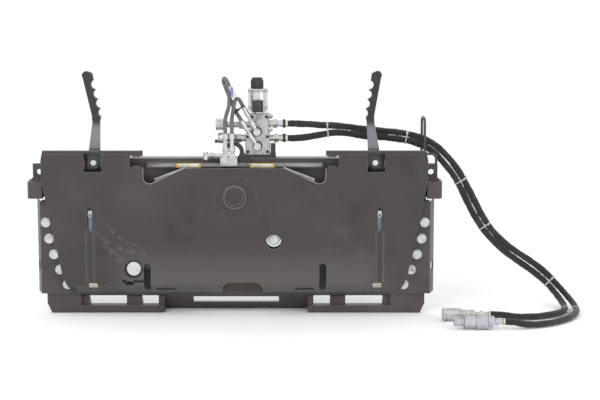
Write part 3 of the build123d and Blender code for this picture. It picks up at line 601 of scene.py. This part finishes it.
def sleeve(name, line, seed, pinches):
    """A wrinkled fabric sleeve: slack folds round it, pulled in at the ties and at its two ends."""
    run = running_length(line)
    end = run[-1]

    def radius_at(i, a):
        s = run[i]
        fold = noise.noise(Vector((s * 95.0, 1.6 * math.cos(a) + seed, 1.6 * math.sin(a))))
        slack = noise.noise(Vector((s * 24.0 + seed, math.cos(a), math.sin(a))))
        twisted = a - 9.0 * s
        across = (2.4 * math.cos(twisted), seed + 2.4 * math.sin(twisted))
        crease = abs(noise.noise(Vector((s * 210.0, *across))))
        reach = SLEEVE_RADIUS * (1.0 + 0.17 * slack + 0.10 * fold - 0.15 * crease)
        for place in pinches:
            near = max(0.0, 1.0 - abs(s - place) / 0.014)
            reach -= 0.0013 * near * near * (1.0 + 0.4 * math.cos(7.0 * a + seed))
        cuff = min(s, end - s)
        if cuff < 0.012:
            reach += (SLEEVE_CORE - reach) * (1.0 - cuff / 0.012)
        grounded = line[i].z < 0.013
        return min(reach, 0.0097 if grounded else 0.0110)

    vertices, faces = sweep(line, radius_at, 30)
    return add_piece(name, vertices, faces, "sleeve_fabric", "rear_frame", "sleeve_fabric")


def nearest(line, place):
    return min(range(len(line)), key=lambda i: (line[i] - place).length)


def loop_round(centres, direction, reach, steps=40):
    """Points of a taut loop round one or two circles that lie across direction."""
    if len(centres) == 1:
        u = direction.orthogonal().normalized()
        v = direction.cross(u)
        return circle_points(centres[0], reach, u, v, steps)
    a, b = centres
    u = (b - a - direction * (b - a).dot(direction)).normalized()
    v = direction.cross(u)
    points = []
    for c, start in ((b, -0.5 * math.pi), (a, 0.5 * math.pi)):
        for k in range(steps // 2 + 1):
            angle = start + math.pi * k / (steps // 2)
            points.append(c + reach * (math.cos(angle) * u + math.sin(angle) * v))
    return points


def strap(points, direction, half_width, thick):
    """A flat strap that follows a closed loop, with softly rounded edges."""
    vertices, faces = [], []
    centre = sum(points, Vector()) / len(points)
    section = ((-1.0, 0.1), (-0.75, 1.0), (0.75, 1.0), (1.0, 0.1), (1.0, 0.0), (-1.0, 0.0))
    count = len(points)
    for i, p in enumerate(points):
        along = (points[(i + 1) % count] - points[i - 1]).normalized()
        out = along.cross(direction).normalized()
        if out.dot(p - centre) < 0:
            out.negate()
        for w, t in section:
            vertices.append(p + direction * (w * half_width) + out * (t * thick))
    size = len(section)
    for i in range(count):
        j = (i + 1) % count
        for k in range(size):
            m = (k + 1) % size
            faces.append((i * size + k, i * size + m, j * size + m, j * size + k))
    return vertices, faces


def block(centre, x_axis, y_axis, size, bevel=0.25):
    """A small moulded block with cut-back corners, given its half sizes."""
    x_axis = x_axis.normalized()
    z_axis = x_axis.cross(y_axis).normalized()
    y_axis = z_axis.cross(x_axis)
    cut = bevel * min(size)
    vertices = []
    levels = ((-size[2], cut), (-size[2] + cut, 0.0), (size[2] - cut, 0.0), (size[2], cut))
    for level, inset in levels:
        a, b = size[0] - inset, size[1] - inset
        ring = [(a - cut, -b), (a, -b + cut), (a, b - cut), (a - cut, b),
                (-a + cut, b), (-a, b - cut), (-a, -b + cut), (-a + cut, -b)]
        vertices += [centre + x_axis * px + y_axis * py + z_axis * level for px, py in ring]
    faces = [tuple(reversed(range(8))), tuple(24 + k for k in range(8))]
    for row in range(3):
        for k in range(8):
            m = (k + 1) % 8
            faces.append((row * 8 + k, row * 8 + m, row * 8 + 8 + m, row * 8 + 8 + k))
    return vertices, faces


def add_hoses():
    upper = route_line("route_upper", SLEEVE_UPPER)
    lower = route_line("route_lower", SLEEVE_LOWER)
    run = running_length(upper)
    lower_run = running_length(lower)
    ties, pinch_lower = [], []
    for n, place in enumerate(TIE_PLACES):
        i = min(range(len(run)), key=lambda k: abs(run[k] - place))
        here = upper[i]
        direction = (upper[i + 1] - upper[i - 1]).normalized()
        other = lower[nearest(lower, here)]
        together = (other - here).length < 0.046
        if together:
            pinch_lower.append(lower_run[nearest(lower, here)])
        centres = [here, other] if together else [here]
        loop = loop_round(centres, direction, SLEEVE_RADIUS + 0.0003)
        shapes = [strap(loop, direction, TIE_HALF_WIDTH, 0.0011)]
        out = Vector((0.0, -1.0, 0.25)) - direction * Vector((0.0, -1.0, 0.25)).dot(direction)
        out.normalize()
        side = direction.cross(out)
        head = here + out * (SLEEVE_RADIUS + 0.0022)
        shapes.append(block(head, side, direction, (0.0036, 0.0030, 0.0020)))
        if n % 2 == 0:
            tail = [head + out * 0.001 + side * (0.0016 * k) + out * (0.0011 * k) for k in range(7)]
            shapes.append(sweep(tail, lambda i, a: 0.0011, 8))
        ties.append(add_piece(f"hose_tie_{n}", *join_shapes(shapes), "tie_grey", "rear_frame", "black_plastic"))
    upper_sleeve = sleeve("sleeve_upper", upper, 3.0, TIE_PLACES)
    lower_sleeve = sleeve("sleeve_lower", lower, 17.0, pinch_lower)
    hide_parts("hose_sleeve_upper")
    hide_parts("hose_sleeve_lower")
    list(add_end_rings("upper", upper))
    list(floor_rings("front", SLEEVE_UPPER[-1][1:], FRONT_RINGS))
    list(add_end_rings("lower", lower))
    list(floor_rings("rear", SLEEVE_LOWER[-1][1:], REAR_RINGS))


def add_end_rings(name, line):
    """Cream band and dark clamp where the sleeve meets its floor coupler."""
    end = line[-1]
    rings = []
    for kind, start, stop, radius, finish in (
        ("band", 0.001, 0.006, 0.0096, "band_cream"), ("clamp", 0.0075, 0.0115, 0.0094, "black_plastic"),
    ):
        profile = [(start, 0.0085), (start, radius - 0.0004), (start + 0.0006, radius),
                   (stop - 0.0006, radius), (stop, radius - 0.0004), (stop, 0.0085)]
        shape = lathe(profile, end, (1.0, 0.0, 0.0), 40)
        rings.append(add_piece(f"{name}_end_{kind}", *shape, finish, "rear_frame", "black_plastic"))
    return rings


# ---- welds --------------------------------------------------------------------------------
def bead(points, radius, pitch, seed, closed=False):
    """A weld run: overlapping scallops along its length, never quite even."""
    run = running_length(points)

    def radius_at(i, a):
        phase = (run[i] / pitch) % 1.0
        scallop = 0.16 * (phase - 0.5)
        wander = 0.10 * noise.noise(Vector((run[i] * 140.0, seed, 0.5 * math.cos(a))))
        return radius * (0.90 + scallop + wander)

    return sweep(points, radius_at, 14, closed)


def straight(start, end, step=0.0008):
    start, end = Vector(start), Vector(end)
    count = max(4, int((end - start).length / step))
    return [start.lerp(end, k / count) for k in range(count + 1)]


def plate_run(x_low, z_low, x_high, z_high, depth):
    """A straight line over the tilt plate, its centre set back by depth from the plate's face."""
    return straight((x_low, PLATE_Y + depth, z_low), (x_high, PLATE_Y + depth, z_high))


def add_welds():
    shapes = []
    for n, x in enumerate((-0.430, -0.409, 0.409, 0.430)):
        shapes.append(bead(plate_run(x, 0.102, x, 0.249, 0.0004), 0.0036, 0.0034, n))
    shapes.append(bead(circle_points(PIVOT, 0.0315, X_AXIS, Z_AXIS, 260), 0.0056, 0.0045, 9.0, True))
    outer = []
    for degrees in range(40, 140):
        a = math.radians(degrees)
        outer.append(PIVOT + 0.0345 * Vector((math.cos(a), 0.0, math.sin(a))))
    shapes.append(bead(outer, 0.0050, 0.0045, 12.0))
    welds = add_piece("weld_runs", *join_shapes(shapes), "weld_bead", "tilt_plate", "weld_bead")
    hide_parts("plate_welds")

    spots = []
    for x in range(-440, 441, 40):
        if -45 < x < 90:
            continue
        jitter = Vector((DRAW.uniform(-0.006, 0.006), 0.0, DRAW.uniform(-0.001, 0.001)))
        middle = Vector((x * MM, PLATE_Y + 0.0006, 0.0995)) + jitter
        reach = DRAW.uniform(0.0016, 0.0026)
        profile = [(-0.001, reach), (0.0006, reach * 0.96), (0.0011, reach * 0.7), (0.0014, reach * 0.25)]
        spots.append(lathe(profile, middle, (0.0, -1.0, 0.0), 14))
    add_piece("weld_spots", *join_shapes(spots), "weld_bead", "tilt_plate", "weld_bead")

    tabs = []
    for side in (-1, 1):
        for x in (0.3835, 0.4315):
            tabs.append(bead(plate_run(side * x, 0.440, side * x, 0.462, 0.003), 0.0022, 0.003, x))
        for z in (0.440, 0.470):
            tabs.append(bead(plate_run(side * 0.270, z, side * 0.293, z, 0.004), 0.0026, 0.003, z))
    add_piece("weld_tabs", *join_shapes(tabs), "weld_bead", "tilt_plate", "weld_bead")

    rear = []
    for x_low, x_high in ((-0.255, -0.12), (-0.03, 0.028), (0.12, 0.255)):
        line = straight((x_low, -0.0005, 0.4465), (x_high, -0.0005, 0.4465))
        rear.append(bead(line, 0.0030, 0.0035, x_low))
    for side in (-1, 1):
        skid = straight((side * 0.460, -0.0065, 0.0585), (side * 0.550, -0.0065, 0.0585))
        rear.append(bead(skid, 0.0028, 0.0036, side))
        block_top = straight((side * 0.562, -0.0125, 0.3945), (side * 0.592, -0.0125, 0.3945))
        rear.append(bead(block_top, 0.0024, 0.003, side))
    add_piece("frame_welds", *join_shapes(rear), "weld_bead", "rear_frame", "weld_bead")


def add_edges():
    """Painted highlights: bright lines round the pockets and along the ears, and bright strips behind the
    slopes.
    """
    edges, seams, strips = [], [], []
    edge_y = PLATE_Y - 0.0001
    for side in (1, -1):
        pocket = [Vector((side * 0.146, edge_y, 0.4347))]
        for degrees in range(245, 361, 5):
            a = math.radians(degrees)
            pocket.append(Vector((side * (0.244 + 0.019 * math.cos(a)), edge_y, 0.410 + 0.019 * math.sin(a))))
        pocket.append(Vector((side * 0.263, edge_y, 0.436)))
        edges.append(sweep(pocket, lambda i, a: 0.0009, 8))
        ear_top = straight((side * 0.264, PLATE_Y, 0.4867), (side * 0.550, PLATE_Y, 0.4867), 0.01)
        edges.append(sweep(ear_top, lambda i, a: 0.0006, 8))
        for low, high in ((0.303, 0.379), (0.437, 0.545)):
            seams.append(bead(plate_run(side * low, 0.4765, side * high, 0.4765, 0.0004), 0.0013, 0.004, low))
        middle = Vector((side * 0.186, -0.0475, 0.4188))
        along = Vector((-side * 0.094, 0.0, 0.036))
        upright = Vector((0.0, 0.3, 1.0))
        below = middle + Vector((side * 0.012, 0.002, -0.0105))
        strips.append(block(middle, along, upright, (0.048, 0.0028, 0.0012)))
        strips.append(block(below, along, upright, (0.036, 0.0014, 0.0012)))
    # Painted highlights: pale pieces along the edges and slopes that catch the light.
    add_piece("plate_edge_highlights", *join_shapes(edges), "edge_bare", "tilt_plate", "plate_paint")
    add_piece("ear_seams", *join_shapes(seams), "weld_bead", "tilt_plate", "weld_bead")
    add_piece("slope_highlights", *join_shapes(strips), "edge_bare", "tilt_plate", "plate_paint")


# ---- springs on the lock links ------------------------------------------------------------
def add_springs():
    for side, name in ((1, "right"), (-1, "left")):
        start = Vector((side * 0.419, -0.0425, 0.312))
        end = Vector((side * 0.38763, -0.0425, 0.426))
        low, high = start.lerp(end, 0.09), start.lerp(end, 0.77)
        axis = (high - low).normalized()
        u = axis.orthogonal().normalized()
        v = axis.cross(u)
        turns, steps = 16, 24
        line = []
        for k in range(turns * steps + 1):
            share = k / (turns * steps)
            squeeze = share + 0.018 * math.sin(math.tau * share)
            a = math.tau * turns * share
            line.append(low.lerp(high, squeeze) + 0.0069 * (math.cos(a) * u + math.sin(a) * v))
        coil = sweep(line, lambda i, a: 0.0012, 8)
        spring = add_piece(f"lock_spring_{name}", *coil, "zinc", f"lock_{name}", "zinc")
        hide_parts(f"link_spring_{name}")


# ---- valve group --------------------------------------------------------------------------
def add_coil_trim():
    """The ribbed knob on top of the coil and the seams round its shell."""
    low, high, middle = box_of("coil_nut")
    radius = (high.x - low.x) / 2
    tall = high.z - low.z
    profile = [(0.0, radius * 0.86), (0.001, radius * 0.97), (0.003, radius), (tall * 0.72, radius),
               (tall * 0.78, radius * 0.97), (tall * 0.80, radius * 0.88), (tall * 0.93, radius * 0.86),
               (tall, radius * 0.74)]
    shape = lathe(profile, (middle.x, middle.y, low.z), (0, 0, 1), 144, 36, 0.0009, (1, 2, 3, 4))
    nut = add_piece("coil_knob", *shape, "black_plastic", "rear_frame", "black_plastic")
    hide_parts("coil_nut")

    low, high, middle = box_of("solenoid_coil")
    radius = (high.x - low.x) / 2
    rings = []
    for z in (0.601, 0.606, 0.6505, 0.655):
        seam = circle_points(Vector((middle.x, middle.y, z)), radius - 0.0003, X_AXIS, Y_AXIS, 72)
        rings.append(sweep(seam, lambda i, a: 0.0009, 8, True))
    add_piece("coil_seams", *join_shapes(rings), "black_plastic", "rear_frame", "black_plastic")


def add_connector_cover():
    low, _, middle = box_of("coil_connector")
    centre = Vector((middle.x, low.y - 0.0012, middle.z))
    cover = [block(centre, X_AXIS, Z_AXIS, (0.0125, 0.0145, 0.0016))]
    head = [(0.0, 0.0020), (0.0012, 0.0020), (0.0016, 0.0014)]
    for dx, dz in ((-0.009, -0.011), (0.009, 0.011), (-0.009, 0.011), (0.009, -0.011)):
        cover.append(lathe(head, centre + Vector((dx, -0.001, dz)), (0, -1, 0), 16))
    add_piece("connector_cover", *join_shapes(cover), "black_plastic", "rear_frame", "black_plastic")


def add_valve_trim():
    """Port seals, screw heads and a small knob on the valve, and the ends of its hose outlets."""
    seals = []
    for x, z in ((0.064, 0.535), (0.065, 0.493)):
        seal = circle_points(Vector((x, -0.0005, z)), 0.0125, X_AXIS, Z_AXIS, 48)
        seals.append(sweep(seal, lambda i, a: 0.0018, 10, True))
    knob = [(0.0, 0.0024), (0.003, 0.0028), (0.005, 0.0048), (0.009, 0.0054), (0.012, 0.0048), (0.0135, 0.0030)]
    seals.append(lathe(knob, (-0.0520, 0.014, 0.5065), (-0.3, -1, 0), 48, 12, 0.0005, (2, 3, 4)))
    for x, z in ((0.037, 0.476), (0.094, 0.476), (0.037, 0.520), (0.094, 0.520), (0.050, 0.578), (0.091, 0.578)):
        head = [(0.0, 0.0042), (0.0028, 0.0042), (0.0034, 0.0036), (0.0034, 0.0022), (0.0012, 0.0020)]
        seals.append(lathe(head, (x, 0.002, z), (0, -1, 0), 24))
    add_piece("valve_seals", *join_shapes(seals), "black_plastic", "rear_frame", "black_plastic")

    clamp = [(0.0, 0.009), (0.0, 0.0118), (0.001, 0.0124), (0.0065, 0.0124), (0.0075, 0.0118), (0.0075, 0.009)]
    band = [(0.0, 0.0085), (0.0, 0.0100), (0.0006, 0.0106), (0.0044, 0.0106), (0.005, 0.0100), (0.005, 0.0085)]
    clamps, bands = [], []
    for z in (0.556, 0.514):
        clamps.append(lathe(clamp, (0.1385, 0.025, z), (1, 0, 0), 48, 24, 0.0005, (2, 3)))
        bands.append(lathe(band, (0.1475, 0.025, z), (1, 0, 0), 48))
    add_piece("outlet_clamps", *join_shapes(clamps), "black_plastic", "rear_frame", "black_plastic")
    add_piece("outlet_bands", *join_shapes(bands), "band_cream", "rear_frame", "valve_body")


def add_pilot_trim():
    """The tie round both pilot hoses and the tag that hangs in front of them."""
    run_direction = Vector((-0.5, 0.0, 0.85)).normalized()
    hoses = [Vector((0.0045, -0.009, 0.593)), Vector((0.0215, -0.009, 0.6095))]
    tie = strap(loop_round(hoses, run_direction, 0.0062), run_direction, 0.002, 0.001)
    head_axes = Vector((0.85, 0, 0.5)), Vector((-0.5, 0, 0.85))
    head = block(Vector((0.009, -0.0165, 0.601)), *head_axes, (0.0036, 0.0028, 0.0022))
    add_piece("pilot_tie", *join_shapes([tie, head]), "black_plastic", "rear_frame", "black_plastic")

    bottom, top = Vector((0.002, -0.0480, 0.638)), Vector((-0.012, -0.0470, 0.671))
    rows, across = 10, 4
    vertices, faces = [], []
    for layer in (0.0, 0.0007):
        for r in range(rows + 1):
            base = bottom.lerp(top, r / rows)
            for c in range(across + 1):
                sway = 0.0014 * math.sin(3.0 * r / rows + 0.6 * c)
                sideways = Vector((0.90, 0.0, 0.42)) * (0.012 * (c / across - 0.5))
                vertices.append(base + sideways + Vector((0, sway + layer, 0)))
    size = (rows + 1) * (across + 1)
    for r in range(rows):
        for c in range(across):
            a = r * (across + 1) + c
            b, d, e = a + 1, a + across + 1, a + across + 2
            faces += [(a, b, e, d), (size + a, size + d, size + e, size + b)]
    rim = list(range(across + 1)) + [r * (across + 1) + across for r in range(1, rows + 1)]
    rim += [rows * (across + 1) + c for c in range(across - 1, -1, -1)]
    rim += [r * (across + 1) for r in range(rows - 1, 0, -1)]
    for a, b in zip(rim, rim[1:] + rim[:1]):
        faces.append((a, size + a, size + b, b))
    add_piece("hose_tag", vertices, faces, "tag_blue", "rear_frame", "black_plastic")


def add_coupler_trim():
    """The knurled locking sleeve, its retaining rings and the grooves of the couplers above."""
    low, high, centre = box_of("coupler_sleeve")
    radius = (high.z - low.z) / 2
    long = high.x - low.x
    inner = radius - 0.0028
    profile = [(0.0, inner), (0.0, radius - 0.0008), (0.0008, radius), (0.004, radius),
               (0.0045, radius - 0.0010), (0.0065, radius - 0.0010), (0.007, radius), (long - 0.007, radius),
               (long - 0.006, radius - 0.0012), (long - 0.003, radius - 0.0012),
               (long - 0.0022, radius - 0.0002), (long, radius - 0.0010), (long, inner)]
    shape = lathe(profile, (low.x, centre.y, centre.z), (1, 0, 0), 120, 40, 0.0006, (6, 7))
    knurl = add_piece("locking_sleeve", *shape, "zinc", "coupler_sleeve", "zinc")
    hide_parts("coupler_sleeve")
    rings = []
    for x, reach in ((-0.0125, 0.0124), (-0.0200, 0.0126), (0.0025, 0.0102)):
        groove = circle_points(Vector((x, centre.y, centre.z)), reach, Y_AXIS, Z_AXIS, 48)
        rings.append(sweep(groove, lambda i, a: 0.0007, 8, True))
    add_piece("coupler_rings", *join_shapes(rings), "black_plastic", "rear_frame", "black_plastic")


def floor_rings(name, centre, rows):
    """Dark seal rings and a pale collar round a coupler on the ground."""
    made = []
    for n, (x, reach, thick, finish) in enumerate(rows):
        line = circle_points(Vector((x, *centre)), reach, Y_AXIS, Z_AXIS, 60)
        shape = sweep(line, lambda i, a: thick, 10, True)
        made.append(add_piece(f"{name}_ring_{n}", *shape, finish, "rear_frame", "black_plastic"))
    return made


def add_labels():
    """Plain labels with a coloured border and nothing on them, and the rubbed strips beside them."""
    for name, low, high in (("left", -0.245, -0.178), ("middle", -0.095, -0.050), ("right", 0.122, 0.243)):
        centre = Vector(((low + high) / 2, -0.0145, 0.4365))
        worn = block(centre, X_AXIS, Z_AXIS, ((high - low) / 2, 0.0022, 0.0006))
        add_piece(f"worn_strip_{name}", *worn, "edge_bare", "rear_frame", "frame_paint")
    for name, x in (("right", 0.078), ("left", -0.135)):
        centre = Vector((x, -0.0144, 0.4378))
        border = block(centre, X_AXIS, Z_AXIS, (0.036, 0.0066, 0.0006))
        add_piece(f"label_border_{name}", *border, "label_yellow", "rear_frame", "frame_paint")
        face = block(centre - Vector((0, 0.0007, 0)), X_AXIS, Z_AXIS, (0.031, 0.0042, 0.0004))
        add_piece(f"label_face_{name}", *face, "label_white", "rear_frame", "frame_paint")


add_camera()
add_studio()
add_floor()
dress_nodes()
add_hoses()
add_welds()
add_edges()
add_springs()
add_coil_trim()
add_connector_cover()
add_valve_trim()
add_pilot_trim()
add_coupler_trim()
add_labels()
